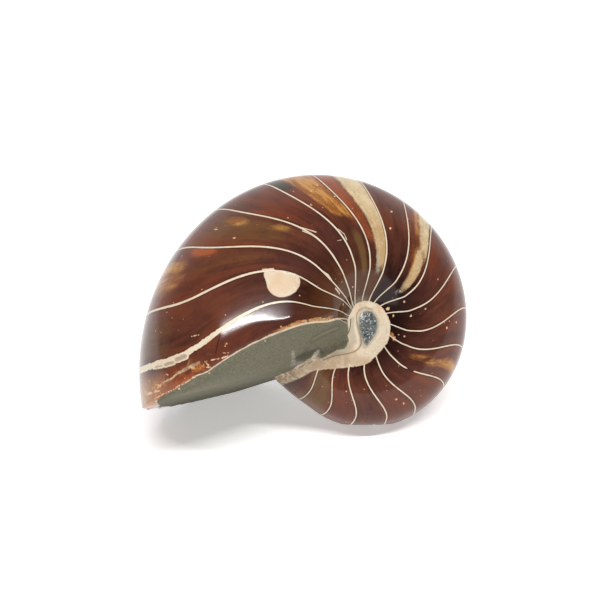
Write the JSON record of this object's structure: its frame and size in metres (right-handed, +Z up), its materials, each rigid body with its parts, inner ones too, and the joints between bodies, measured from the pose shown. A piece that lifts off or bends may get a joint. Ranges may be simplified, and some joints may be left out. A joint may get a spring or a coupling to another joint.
{
  "type": "fossil nautilus",
  "caption": "Polished, calcite-filled fossil nautilus coil with flush suture lines, standing on its venter and leaning back on the rim of its matrix-filled mouth.",
  "frame": {"origin": "centre of the bounding box on the ground the fossil rests on", "axes": "+Z up from the ground, +X from the mouth toward the earlier whorl, +Y from the polished side with the matrix face toward the hidden side"},
  "size_m": [0.0976, 0.0788, 0.0699],
  "materials": {
    "polished_stone": "polished"
  },
  "bodies": {
    "root": {"fossil_nautilus": "polished_stone"}
  },
  "joints": []
}
